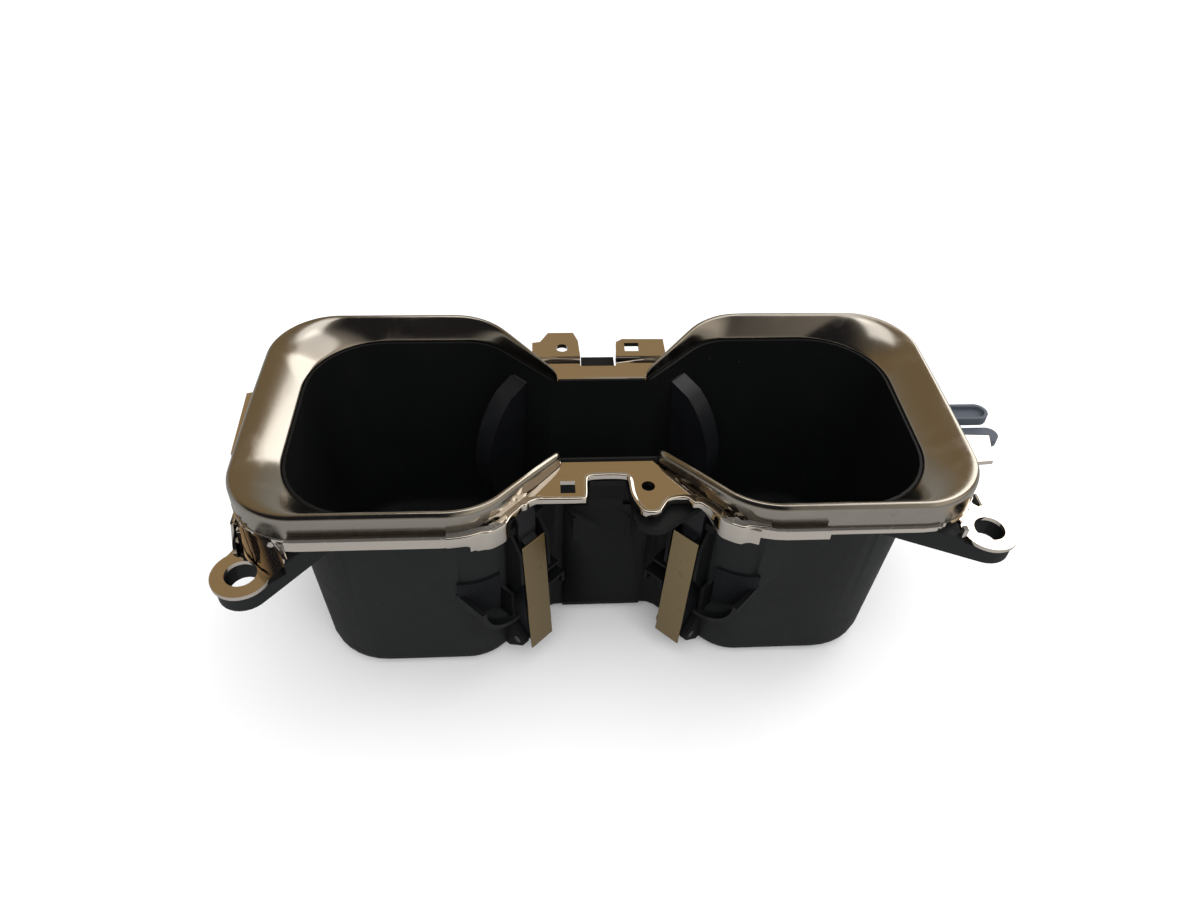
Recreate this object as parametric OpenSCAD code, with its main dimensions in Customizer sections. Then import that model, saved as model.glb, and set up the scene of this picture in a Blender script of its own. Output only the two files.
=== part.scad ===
// Double car cup holder: a moulded tub with two cup wells joined by a neck,
// a plated carrier frame with two satin rims on it, and four sprung grippers.
// X runs along the two wells, Y points to the back, Z is up, and the origin
// is the centre of the base.

/* [Overall] */
// Height of the rims' crest above the base
holder_h = 90; // [84:1:100]
// Length over both rims
rim_len = 230; // [222:1:240]
// Depth over the rims, front to back
rim_depth = 101; // [98:1:108]
// Width of a rim at its end, seen from above
rim_end_w = 13.5; // [10:0.5:15]
// Width of a rim along its sides
rim_side_w = 8.5; // [7:0.5:10]
// Fall of each rim from its crest to its inner edge
rim_fall = 6.8; // [5:0.2:8]
// How much lower the rims are where they end at the neck
neck_drop = 4.2; // [2:0.2:5]
// Gap between the ends of the two rims across the neck
rim_gap = 31.2; // [28:0.4:34]

/* [Wells] */
// Width of the neck between the wells
neck_w = 39; // [34:1:42]
// Thickness of the tub's walls
wall = 2.2; // [1.8:0.1:2.6]
// Thickness of the floor
floor_t = 2.5; // [2:0.1:4]
// Draft of the walls in degrees
draft = 3.2; // [2:0.1:4]
// Radius where the walls meet the floor
floor_r = 4.5; // [3:0.5:6]

/* [Grippers] */
// Width of a gripper's blade
blade_w = 7.5; // [6:0.1:8]
// How far the blade stands into the well
blade_reach = 20; // [14:0.5:22]
// Height of a blade
blade_h = 60; // [54:1:62]
// Distance of a blade's top below the crest
blade_top = 15.6; // [15:0.1:18]
// Clearance between a blade and its slot
slot_gap = 0.4; // [0.3:0.05:0.6]
// Diameter of a hinge pin
pin_d = 3; // [2.5:0.1:3.4]
// Radial running fit of a hinge pin
pin_fit = 0.05; // [0.02:0.01:0.1]
// Width of a leaf spring
leaf_w = 10; // [8:0.5:11]
// Thickness of a leaf spring
leaf_t = 0.6; // [0.4:0.1:0.8]
// Distance of a leaf spring's foot from the wall's inner face
leaf_out = 9.6; // [9.4:0.1:11]
// How much nearer to the wall the spring's top is
leaf_lean = 3.6; // [2:0.1:4]
// Depth of the spring's top below the crest
leaf_top = 28.5; // [26:0.5:32]

/* [Frame and ears] */
// Thickness of the carrier frame
frame_t = 1.7; // [1.4:0.1:2]
// Depth of the frame's top below the crest
frame_drop = 8.5; // [8:0.1:9]
// Thickness of the plates across the neck
plate_t = 1.6; // [1.4:0.1:1.8]
// Height of the lip along the frame's outer edge
lip_h = 3.7; // [3:0.1:5]
// Diameter of the holes in the two fixing ears
ear_hole_d = 9.5; // [8:0.1:10]
// Outer diameter of a fixing ear
ear_d = 17.6; // [16:0.2:20]
// Depth of the left ear's face below the crest
ear_left_drop = 19; // [17:0.5:21]
// Depth of the right ear's face below the crest
ear_right_drop = 13.5; // [13:0.5:15]
// Thickness of the felt pads
felt_t = 1.2; // [0.8:0.1:1.6]

/* [Hidden] */

// Steps in the end corners, the knees, the neck corners and the rims' diagonals
corner_steps = 9;
knee_steps = 6;
neck_steps = 4;
diag_steps = 6;

// An outline is [end, side, corner radius, knee x, knee radius, neck x, neck y, neck radius]
knee_run = 23;
neck_x = 17.5;
neck_r = 4;
knee_x = neck_x + knee_run;
neck_rise = 2.5;
crest = [rim_len / 2, rim_depth / 2, 22, knee_x, 24, rim_gap / 2, neck_w / 2 + neck_rise, neck_r];
well = [crest[0] - rim_end_w, crest[1] - rim_side_w, 25, knee_x, 20, neck_x, neck_w / 2, neck_r];
diag_angle = atan2(well[1] - well[6], knee_run);

// Heights, and the seam between a rim and the wells' lip
big = 200;
frame_top = holder_h - frame_drop;
frame_low = frame_top - frame_t;
flange_t = 1.8;
flange_low = frame_low - flange_t;
rim_t = 1.3;
rim_seam = 1.1;
seam_gap = 0.2;
rim_low = holder_h - rim_fall - rim_t;
lip_top = holder_h - rim_fall - 0.6;

// An outline moved outwards by d, or inwards where d is negative
function angle_of(p) = atan2(p[1] - p[6], p[3] - p[5]);
function grown(p, d) =
    let (s = d * tan(angle_of(p) / 2))
    [p[0] + d, p[1] + d, p[2] + d, p[3] - s, p[4] + d, p[5] - s, p[6] + d, p[7] - d];
function blend(p, q, t) = [for (i = [0:7]) p[i] * (1 - t) + q[i] * t];
function arc(c, r, a, b, n) = [for (i = [0:n]) c + r * [cos(a + (b - a) * i / n), sin(a + (b - a) * i / n)]];

// The two rounded corners of one quarter, from the end of the well to the knee
function shoulder(p) = let (f = angle_of(p)) concat(
    arc([p[0] - p[2], p[1] - p[2]], p[2], 0, 90, corner_steps),
    arc([p[3] + p[4] * tan(f / 2), p[1] - p[4]], p[4], 90, 90 + f, knee_steps));
function neck_corner(p) = let (f = angle_of(p))
    arc([p[5] - p[7] * tan(f / 2), p[6] + p[7]], p[7], 270 + f, 270, neck_steps);
function quarter(p) = concat(shoulder(p), neck_corner(p));
function flip(q, sx, sy) = [for (v = q) [sx * v[0], sy * v[1]]];
function back_to_front(q) = [for (i = [len(q) - 1:-1:0]) q[i]];
function loop(p) = let (q = quarter(p)) concat(
    q, back_to_front(flip(q, -1, 1)), flip(q, -1, -1), back_to_front(flip(q, 1, -1)));

// The diagonal of a C-shaped path, straight on from the knee to the neck's end
function diag_points(p) = let (
        f = angle_of(p), stop = rim_gap / 2, c = [p[3] + p[4] * tan(f / 2), p[1] - p[4]],
        a = c + p[4] * [cos(90 + f), sin(90 + f)], b = [stop, a[1] - (a[0] - stop) * tan(f)])
    [for (i = [1:diag_steps]) a + (b - a) * i / diag_steps];
function c_path(p) = let (q = concat(shoulder(p), diag_points(p))) concat(back_to_front(flip(q, 1, -1)), q);

// Two triangles in place of each four-sided face, which may be twisted
function split(faces) = [for (f = faces) each (len(f) == 4 ? [[f[0], f[1], f[2]], [f[0], f[2], f[3]]] : [f])];

// The wells' outline at height z, drawn in by the draft below the flange
function wall_out(z) = -tan(draft) * max(0, flange_low - z);

module ring(outer, inner, z0, z1)
    translate([0, 0, z0]) linear_extrude(z1 - z0) difference() {
        polygon(loop(outer));
        polygon(loop(inner));
    }

// A solid through closed loops of equal length, each [outline, z]
module loft(rings) {
    n = len(loop(rings[0][0]));
    m = len(rings);
    points = [for (r = rings) for (v = loop(r[0])) [v[0], v[1], r[1]]];
    sides = [for (k = [0:m - 2]) for (i = [0:n - 1]) let (j = (i + 1) % n)
        [k * n + i, k * n + j, (k + 1) * n + j, (k + 1) * n + i]];
    bottom = [for (i = [0:n / 2 - 2]) [n - 1 - i, n - 2 - i, i + 1, i]];
    top = [for (i = [0:n / 2 - 2]) let (k = (m - 1) * n) [k + i, k + i + 1, k + n - 2 - i, k + n - 1 - i]];
    polyhedron(points, [for (f = split(concat(bottom, sides, top))) back_to_front(f)], convexity = 8);
}

// Rings from the floor up a drafted wall, out by d from the wells' outline
fillet_steps = 4;
function wall_rings(d, low, r, top) = concat(
    [for (i = [0:fillet_steps]) let (a = 90 * i / fillet_steps, z = low + r * (1 - cos(a)))
        [grown(well, d + wall_out(low + r) - r * (1 - sin(a))), z]],
    [[grown(well, d), max(flange_low, low + r + 1)], [grown(well, d), top]]);

/* Places a child at one of the four neck corners: x along the wall from the
   neck to the knee, y outwards from the wells, z up. */
module corner(sx, sy)
    mirror([sx < 0 ? 1 : 0, 0, 0]) mirror([0, sy < 0 ? 1 : 0, 0])
        translate([neck_x, neck_w / 2, 0]) rotate([0, 0, diag_angle]) children();

// Draws a profile of [outwards, up] points and gives it a width along the wall
module along_wall(width)
    translate([blade_x - width / 2, 0, 0]) rotate([90, 0, 90]) linear_extrude(width) children();

// Draws a profile of [along the wall, up] points and pushes it outwards
module outwards(from, to) translate([0, to, 0]) rotate([90, 0, 0]) linear_extrude(to - from) children();

// Places of the gripper's parts: along the wall, outwards and up
blade_x = 16.5;
pivot_out = 4.6;
pivot_z = holder_h - blade_top - blade_h - 1.4;
barrel_r = 3;
lug_t = 2.6;
lug_gap = 0.3;
lug_fit = 0.02;
lug_root = 5;

// The leaf spring leans: its distance from the wall's inner face at height z
leaf_foot_z = pivot_z - 2;
leaf_top_z = holder_h - leaf_top;
function leaf_at(z) = leaf_out - leaf_lean * (z - leaf_foot_z) / (leaf_top_z - leaf_foot_z);

// Slot through the wall for one blade and its arm
module gripper_slot() {
    slot_w = blade_w + 2 * slot_gap;
    z0 = pivot_z - barrel_r - 1;
    deep = blade_reach / 2 + 2;
    translate([blade_x - slot_w / 2, -deep, z0]) cube([slot_w, 3 * deep, holder_h - blade_top + 0.9 - z0]);
}

module hinge_lug() along_wall(lug_t) difference() {
    union() {
        translate([pivot_out, pivot_z]) circle(r = barrel_r, $fn = 40);
        polygon([[-lug_root, pivot_z - barrel_r - lug_root], [0, pivot_z - barrel_r - lug_root],
            [pivot_out + barrel_r * 0.6, pivot_z - barrel_r * 0.8],
            [pivot_out + barrel_r * 0.5, pivot_z + barrel_r * 0.87],
            [0, pivot_z + barrel_r + lug_root], [-lug_root * 0.7, pivot_z + barrel_r + lug_root]]);
    }
    translate([pivot_out, pivot_z]) circle(d = pin_d + 2 * lug_fit, $fn = 40);
}

// Guide rails beside the leaf spring, each with a block at its top
rail_t = 1.2;
rail_gap = 0.5;
rail_top = leaf_top_z + 7.5;
rail_low = leaf_top_z - 30;
rail_stand = 1;
rail_bend = 16;
block_w = 3.2;
block_h = 3;
module guide_rail() {
    bend_z = leaf_top_z - rail_bend;
    along_wall(rail_t) polygon([[0, rail_top], [rail_stand + 0.6, rail_top - 0.5],
        [leaf_at(leaf_top_z) + rail_stand, leaf_top_z - 2], [leaf_at(bend_z) + rail_stand / 2, bend_z],
        [leaf_out / 2, bend_z - leaf_out / 2], [0, rail_low]]);
    along_wall(block_w) polygon([[0, rail_top + 0.6], [leaf_out / 3, rail_top],
        [leaf_out / 3, rail_top - block_h], [0, rail_top - block_h]]);
}

// Cradle on the knee side: a quarter ring that juts out from the wall, with a web
cradle_r = 16;
cradle_t = 1.6;
cradle_out = 6.5;
cradle_x = blade_x + leaf_w / 2 + 2;
cradle_z = leaf_top_z - 18;
module cradle() {
    outwards(-cradle_r / 2, cradle_out) intersection() {
        translate([cradle_x, cradle_z]) difference() {
            circle(r = cradle_r, $fn = 72);
            circle(r = cradle_r - cradle_t, $fn = 72);
        }
        translate([cradle_x, cradle_z - cradle_r]) square(cradle_r);
    }
    outwards(0, cradle_out - 1) translate([cradle_x + rail_t, cradle_z - cradle_r + cradle_t / 2])
        square([rail_t, cradle_r - 3]);
}

// Two stops on the neck side, which the spring's strip is hooked behind
stop_w = 5;
stop_out = 6.6;
stop_high = 21;
stop_low = 33;
module spring_stops() {
    x = blade_x - leaf_w / 2 - rail_gap - rail_t;
    outwards(0, stop_out) translate([x - stop_w, leaf_top_z - stop_high])
        square([stop_w + rail_t / 2, rail_t]);
    outwards(0, stop_out) translate([x - 1.6 * stop_w, leaf_top_z - stop_low]) difference() {
        square([1.6 * stop_w, stop_w]);
        translate([rail_t, -1]) square([1.6 * stop_w - 2 * rail_t, stop_w + 1 - rail_t]);
    }
}

module gripper_carrier(sx, sy) corner(sx, sy) {
    for (s = [-1, 1]) {
        translate([s * (blade_w / 2 + lug_gap + lug_t / 2), 0, 0]) hinge_lug();
        translate([s * (leaf_w / 2 + rail_gap + rail_t / 2), 0, 0]) guide_rail();
    }
    cradle();
    spring_stops();
}

// A blade: a crescent that bulges into the well, on an arm outside the wall
blade_steps = 20;
arm_gap = 2.2;
pad_run = 6;
function blade_profile() = let (top = holder_h - blade_top) concat(
    [for (i = [0:blade_steps]) let (t = i / blade_steps)
        [-blade_reach * pow(max(0, sin(180 * t)), 0.5), top - t * blade_h]],
    [[pivot_out, pivot_z - barrel_r * 0.9], [leaf_at(pivot_z + barrel_r) - arm_gap, pivot_z + barrel_r],
        [leaf_at(leaf_top_z) - arm_gap, leaf_top_z], [leaf_at(leaf_top_z) - arm_gap, top - 4],
        [arm_gap, top - 0.6]]);

// Pad on the arm that carries the leaf spring between two heights
module leaf_pad(z0, z1) along_wall(blade_w - 2) polygon([
    [leaf_at(z0) - arm_gap - 1, z0 - 2], [leaf_at(z0), z0],
    [leaf_at(z1), z1], [leaf_at(z1) - arm_gap - 1, z1 + 2]]);

module gripper(sx, sy) color("#2b2e30") corner(sx, sy) difference() {
    union() {
        along_wall(blade_w) polygon(blade_profile());
        along_wall(blade_w) translate([pivot_out, pivot_z]) circle(r = barrel_r - 0.4, $fn = 40);
        leaf_pad(leaf_top_z - pad_run - 1, leaf_top_z - 1);
        leaf_pad(pivot_z, pivot_z + pad_run);
    }
    along_wall(blade_w + 2) translate([pivot_out, pivot_z]) circle(d = pin_d + 2 * pin_fit, $fn = 40);
}

module leaf_spring(sx, sy) color("#a08c6e") corner(sx, sy)
    along_wall(leaf_w) polygon([[leaf_out, leaf_foot_z], [leaf_out + leaf_t, leaf_foot_z],
        [leaf_at(leaf_top_z) + leaf_t, leaf_top_z], [leaf_at(leaf_top_z), leaf_top_z]]);

module hinge_pin(sx, sy) color("#9a9a98") corner(sx, sy) {
    length = blade_w + 2 * (lug_gap + lug_t) + 0.6;
    along_wall(length) translate([pivot_out, pivot_z]) circle(d = pin_d, $fn = 40);
}

// Fixing ears: centres, black lugs under them, and the line where they leave the frame
ear_left = [-(crest[0] - 5), -(crest[1] + 3.5)];
ear_right = [crest[0] + 1.6, -(crest[1] - 2.5)];
ear_lug_t = 6;
ear_skin = 1.4;
ear_line = crest[0] - 17.8;
ear_line_right = crest[0] - 8;

gusset = [15, 3, 9];
module ear_lug(c, drop, s) {
    z1 = holder_h - drop - ear_skin;
    difference() {
        hull() {
            translate([c[0], c[1], z1 - ear_lug_t]) cylinder(h = ear_lug_t, d = ear_d - 1.6, $fn = 32);
            translate([s * (ear_line - 5.7) - gusset[0] / 2, -well[1], flange_low - gusset[2]]) cube(gusset);
        }
        translate([s > 0 ? ear_line_right - 0.1 : -ear_line - big, -big, z1]) cube([big, big, big]);
        translate([c[0], c[1], 0]) cylinder(h = holder_h, d = ear_hole_d, $fn = 48);
    }
}

// Locating tongues on the right end: [front y, back y, reach, depth below the crest, pocket]
tongue_t = 3;
tongues = [[1.5, 9.5, 21, 12, true], [-6.5, 0.5, 22.5, 15.2, false]];
module tongue_shape(y0, y1, reach, inset) {
    r = (y1 - y0) / 2 - inset;
    x1 = crest[0] + reach - inset;
    translate([well[0], y0 + inset]) square([x1 - r - well[0], 2 * r]);
    translate([x1 - r, (y0 + y1) / 2]) circle(r = r, $fn = 32);
}
module tongue(t) {
    z = holder_h - t[3];
    difference() {
        translate([0, 0, z - tongue_t]) linear_extrude(tongue_t) tongue_shape(t[0], t[1], t[2], 0);
        if (t[4]) translate([0, 0, z - tongue_t / 2]) linear_extrude(tongue_t)
            tongue_shape(t[0], t[1], t[2], rail_t);
    }
}

// Front of the neck: a raised panel that follows the draft, ribs, a dimple and a bracket in the notch
panel_x = 14.5;
panel_top = holder_h - 27;
panel_up = 1.1;
rib_x = [-10.8, 7.5];
rib_up = 1.7;
rib_w = 0.9;
rib_low = holder_h - 45;
rib_high = rib_low + 12;
dimple = [-1.8, holder_h - 61];
notch = [-8, 5.6];
notch_y = neck_w / 2 + 7.5;
notch_x = notch[0] + 1.4;
bracket_w = notch[1] - notch[0] - 2;
bracket_y = neck_w / 2 + 5;
bracket_low = holder_h - 22;
bracket_top = holder_h - 11.2;
module neck_front() {
    intersection() {
        loft(wall_rings(wall + panel_up, 0, floor_r + wall, frame_low));
        union() {
            translate([-panel_x, -neck_w, floor_r]) cube([2 * panel_x, neck_w, panel_top - floor_r]);
            translate([notch_x, -neck_w, floor_r]) cube([bracket_w, neck_w, panel_top + 4 - floor_r]);
        }
    }
    intersection() {
        loft(wall_rings(wall + rib_up, 0, floor_r + wall, frame_low));
        for (x = rib_x) translate([x - rib_w / 2, -neck_w, rib_low])
            cube([rib_w, neck_w, rib_high - rib_low]);
    }
    translate([notch_x, 0, 0]) rotate([90, 0, 90]) linear_extrude(bracket_w) polygon([
        [-neck_w / 2 - 1, bracket_low], [-bracket_y, bracket_low + 0.5], [-bracket_y, bracket_top - 3.3],
        [-notch_y + 0.6, bracket_top - 2.2], [-notch_y + 0.6, bracket_top], [-neck_w / 2 - 1, bracket_top]]);
}

// Guard flange under the frame's right-hand tab, with a rounded front
guard_top = holder_h - 12;
guard_t = 2.2;
guard_r = 3.5;
guard_y = crest[1] - 3.5;
module tab_guard()
    translate([0, 0, guard_top - guard_t]) linear_extrude(guard_t) offset(guard_r) offset(-guard_r)
        translate([notch[1], 0]) polygon([[-0.4, -neck_w / 2 - 1], [0.6, -guard_y + 3.5], [4.8, -guard_y],
            [9.3, -guard_y], [21.3, -guard_y + 9], [25, -guard_y + 13.6], [15, -neck_w / 2 - 1]]);

// Bar behind the rear plate, between its two tabs
rear_fold = crest[1] - 18.5;
rear_bar = [-6.5, 5.4];
bar_back = rear_fold + 4.5;
module rear_bracket()
    translate([rear_bar[0], 0, 0]) rotate([90, 0, 90]) linear_extrude(rear_bar[1] - rear_bar[0]) polygon([
        [neck_w / 2 + 1, bracket_top - 3.8], [neck_w / 2 + 1, bracket_top], [rear_fold - 3, bracket_top],
        [rear_fold - 3, plate_top - 0.2], [bar_back, plate_top - 0.2], [bar_back, plate_top - 2.6],
        [rear_fold - 1, bracket_top - 3.8]]);

module cup_tub() color("#1c1f1f") {
    difference() {
        union() {
            loft(wall_rings(wall, 0, floor_r + wall, lip_top - 0.01));
            ring(grown(crest, -1.2), grown(well, 0.5), flange_low, frame_low);
            difference() {
                union() {
                    for (sx = [-1, 1], sy = [-1, 1]) gripper_carrier(sx, sy);
                    ear_lug(ear_left, ear_left_drop, -1);
                    ear_lug(ear_right, ear_right_drop, 1);
                    for (t = tongues) tongue(t);
                    neck_front();
                    tab_guard();
                    rear_bracket();
                }
                loft(wall_rings(wall / 2, floor_t / 2, floor_r, holder_h));
            }
        }
        loft(concat(wall_rings(0, floor_t, floor_r, lip_top), [[well, holder_h + 5]]));
        lip_trim();
        for (sx = [-1, 1], sy = [-1, 1]) corner(sx, sy) gripper_slot();
        translate([dimple[0], -neck_w / 2 - panel_up, dimple[1]]) rotate([90, 0, 0])
            cylinder(h = neck_w, d = 2 * rib_w, $fn = 24);
    }
}

// Cuts all above the frame's underside back to a thin lip, clear of the rims' inner edges
module lip_trim() {
    lip = grown(well, rim_seam - seam_gap);
    difference() {
        ring(grown(crest, 40), lip, frame_low, holder_h);
        translate([-neck_x, -big / 2, frame_low - 1]) cube([2 * neck_x, big, frame_top - 0.6 - frame_low]);
    }
    for (s = [0, 1])
        mirror([s, 0, 0]) translate([0, 0, rim_low - seam_gap]) linear_extrude(holder_h) difference() {
            translate([rim_gap / 2 - seam_gap, -big / 2]) square([big, big]);
            polygon(c_path(lip));
        }
}

// Rim: a C round one well, open at the neck. Each section point is
// [outline, height, share of the neck drop]
drop_from = 57;
function drop_at(x) = neck_drop * pow(max(0, drop_from - x) / (drop_from - rim_gap / 2), 2);
inner_edge = grown(well, rim_seam);
face_curve = 1.6;
face_steps = 4;
lip_flat = 1;
lip_round = 0.3;
function rim_section() = concat(
    [[inner_edge, rim_low, 0]],
    [for (i = [0:face_steps]) let (t = 0.22 * i)
        [blend(inner_edge, crest, t), holder_h - rim_fall * pow(1 - t, face_curve), t]],
    [[grown(crest, -lip_flat), holder_h, 1],
    [grown(crest, -lip_round), holder_h - lip_round, 1],
    [crest, holder_h - lip_flat, 1],
    [grown(crest, lip_round), frame_top, 0],
    [grown(crest, -rim_t), frame_top, 0]]);

module rim() {
    section = rim_section();
    path = c_path(crest);
    n = len(section);
    m = len(path);
    points = [for (i = [0:m - 1]) for (s = section) let (v = c_path(s[0])[i])
        [v[0], v[1], s[1] - s[2] * drop_at(path[i][0])]];
    sides = [for (i = [0:m - 2]) for (k = [0:n - 1]) let (j = (k + 1) % n)
        [i * n + k, i * n + j, (i + 1) * n + j, (i + 1) * n + k]];
    start = [for (k = [n - 1:-1:0]) k];
    end = [for (k = [0:n - 1]) (m - 1) * n + k];
    polyhedron(points, concat([start], split(sides), [end]), convexity = 6);
}

module rim_right() color("#8f8778") rim();
module rim_left() color("#8f8778") mirror([1, 0, 0]) rim();

// Plates of the frame across the neck, with their tabs, as seen from above. A hole is [x, y, width, depth]
plate_top = holder_h - 8;
plate_in = neck_w / 2 + rim_seam;
tab_left_y = crest[1] - 13.1;
tab_right_y = crest[1] - 8.1;
tab_right_x = 9.2;
tab_right_w = 4.2;
front_tab_end = -27;
square_hole = [-16.1, 0.5 - tab_left_y + 2.3, 4.6, 5.2];
round_hole = [11.2, -tab_left_y + 5.2, 4.2];
module front_plate_shape() difference() {
    polygon([[-neck_x + 1.5, -plate_in], [neck_x - 4.1, -plate_in], [-front_tab_end - 1, -tab_left_y - 0.6],
        [-front_tab_end - 3, -tab_right_y + 1.4], [-front_tab_end - 4.1, -tab_left_y],
        [neck_x + 0.5, -tab_left_y], [neck_x - 1.8, -tab_left_y - 0.9],
        [tab_right_x + tab_right_w, -tab_right_y], [tab_right_x, -tab_right_y],
        [notch[1] + 0.3, -tab_left_y + 2.8], [notch[1], -notch_y], [notch[0], -notch_y],
        [notch[0] - 0.4, -tab_left_y], [front_tab_end, -tab_left_y]]);
    translate([square_hole[0], square_hole[1]]) square([square_hole[2], square_hole[3]]);
    translate([round_hole[0], round_hole[1]]) circle(d = round_hole[2], $fn = 32);
}

// Rear tabs stand on the plate behind its fold: [left end, right end]
rear_tabs = [[-24.2, -7], [5.9, 24.1]];
rear_tab_y = crest[1] - 4;
rear_hole = [-13.4, rear_tab_y - 9.3, 4.4];
rear_slot = [9.4, rear_tab_y - 11.5, 5.2, 4.9];
module rear_plate_shape() difference() {
    polygon([[-neck_x - 0.5, plate_in], [neck_x + 0.5, plate_in], [-front_tab_end, rear_fold - 2],
        [rear_tabs[1][1], rear_fold + plate_t], [rear_tabs[0][0], rear_fold + plate_t],
        [front_tab_end, rear_fold - 2]]);
    translate([rear_bar[0] - 0.5, rear_fold - 3.5]) square([rear_bar[1] - rear_bar[0] + 1, big]);
}
module rear_tab_shape() difference() {
    union() {
        translate([rear_tabs[0][0], 0]) polygon([[0, rear_fold], [0, rear_tab_y - 6.1],
            [2.9, rear_tab_y - 5.5], [5.9, rear_tab_y], [15.2, rear_tab_y], [16.8, rear_tab_y - 5.1],
            [rear_tabs[0][1] - rear_tabs[0][0], rear_fold]]);
        translate([rear_tabs[1][0], 0]) polygon([[0, rear_fold], [0.6, rear_tab_y - 5.9],
            [3, rear_tab_y - 4.1], [rear_tabs[1][1] - rear_tabs[1][0], rear_tab_y - 4.3],
            [rear_tabs[1][1] - rear_tabs[1][0], rear_fold]]);
    }
    translate([rear_hole[0], rear_hole[1]]) circle(d = rear_hole[2], $fn = 32);
    translate([rear_slot[0], rear_slot[1]]) square([rear_slot[2], rear_slot[3]]);
}

// Posts under the front right tab, down to the guard flange
post_d = 1.7;
module tab_posts() for (x = [0.8, 3.4]) translate([tab_right_x + x, -tab_right_y + 1.2, guard_top])
    cylinder(h = plate_top - plate_t / 2 - guard_top, d = post_d, $fn = 24);

// An ear's face: a flat ring that runs back to the wall under the frame
fin_t = 1.1;
function face_left(c) = [c - [ear_d / 2, 0], c + ear_d * [0.31, -0.36], [-ear_line, -crest[1] - 0.2],
    [-ear_line, -crest[1] + 6], c + [3, 15.5], c + [-3.6, 10.5], c + [-5.6, 6.5]];
function face_right(c) = [c + [ear_d / 2, 0], c - ear_d * [0.3, 0.4], [ear_line_right + 1.6, -crest[1] - 0.6],
    [ear_line_right, -crest[1] + 1.4], [ear_line_right + 3.4, -crest[1] + 5.3],
    [ear_line_right + 6.3, -crest[1] + 9.5], [ear_line_right + 5.5, -crest[1] + 14.5], c + [1.4, 9.5]];

// Wall from the face up to the frame, with a strip that closes its end at the lip
module ear_wall(line, reach, z0) {
    intersection() {
        ring(grown(crest, 0.2), grown(crest, -1.2), z0, frame_low);
        translate([line > 0 ? line : line - reach, -crest[1] - 1, z0]) cube([reach, reach, holder_h]);
    }
    translate([line - ear_skin / 2, -crest[1] - 1, z0]) cube([ear_skin, 2, frame_low - z0]);
}

// Fin between the wall and the face: it starts at a point, and its foot runs further out than its top
module ear_fin(from, angle, run_top, run_foot, z0)
    translate(from) rotate([90, 0, angle]) translate([0, 0, -fin_t / 2]) linear_extrude(fin_t)
        polygon([[0, z0], [run_foot, z0], [run_foot - 0.4, z0 + 2], [run_top, frame_low - 1],
            [run_top, frame_low], [0, frame_low]]);

module ear_face(c, z0, face) translate([0, 0, z0]) linear_extrude(ear_skin) difference() {
    union() {
        translate(c) circle(d = ear_d, $fn = 48);
        polygon(face);
    }
    translate(c) circle(d = ear_hole_d, $fn = 48);
}

module ears() {
    left_z = holder_h - ear_left_drop - ear_skin;
    right_z = holder_h - ear_right_drop - ear_skin;
    ear_face(ear_left, left_z, face_left(ear_left));
    ear_face(ear_right, right_z, face_right(ear_right));
    ear_wall(-ear_line, 18, left_z);
    ear_wall(ear_line_right, 9, right_z);
    ear_fin(ear_left + [-0.7, 15], -90, 6, 8.6, left_z);
    ear_fin(ear_left + [-3.1, 19], -90, 7, 12, left_z);
    ear_fin(ear_right + [-1.8, 18], -72, 4, 9, right_z);
}

// The ledge and the lip along the frame's outer edge, from x0 to x1 on both sides
ledge_w = 2.8;
lip_t = 1.1;
lip_top_z = holder_h - 7;
module side_band(x0, x1, outer, inner, z0, z1) intersection() {
    ring(grown(crest, outer), grown(crest, inner), z0, z1);
    for (s = [0, 1]) mirror([0, s, 0]) translate([x0, neck_w / 2 + 10, 0]) cube([x1 - x0, big, holder_h]);
}
lip_inner_x = knee_x - 8;
lip_left_x = crest[0] - 19.2;
lip_right_x = crest[0] - 51;
small_ledge_x = crest[0] - 16;
clip_tab_w = 10.5;
clip_tab_h = 2.8;
module lips() {
    side_band(-lip_left_x, -lip_inner_x, ledge_w, -0.5, frame_low, frame_top);
    side_band(lip_inner_x, lip_right_x, ledge_w, -0.5, frame_low, frame_top);
    side_band(lip_right_x - 1, small_ledge_x, ledge_w / 2, -0.5, frame_low, frame_top);
    side_band(-lip_left_x, -lip_inner_x, ledge_w, ledge_w - lip_t, lip_top_z - lip_h, lip_top_z);
    side_band(lip_inner_x, lip_right_x, ledge_w, ledge_w - lip_t, lip_top_z - lip_h, lip_top_z);
    for (x = [-lip_inner_x - clip_tab_w, lip_inner_x])
        side_band(x, x + clip_tab_w, ledge_w + 0.5, ledge_w - lip_t,
            lip_top_z - lip_h - clip_tab_h, lip_top_z - 0.8);
}

// Room for the rims' feet and inner edges in the plates
module rim_room() translate([0, 0, frame_top]) linear_extrude(holder_h) difference() {
    polygon(loop(grown(crest, 0.45)));
    square([rim_gap - 0.6, big], center = true);
}

clip_slot = [5, 3.2];
clip_in = [3.9, 3.5];
module clip_slots()
    for (s = [-1, 1]) translate([s * (knee_x - clip_in[0]), -crest[1] + clip_in[1], 0]) rotate([0, 0, s * 18])
        translate([-clip_slot[0] / 2, -clip_slot[1] / 2, 0])
            cube([clip_slot[0], clip_slot[1], frame_top + 0.1]);

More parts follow.
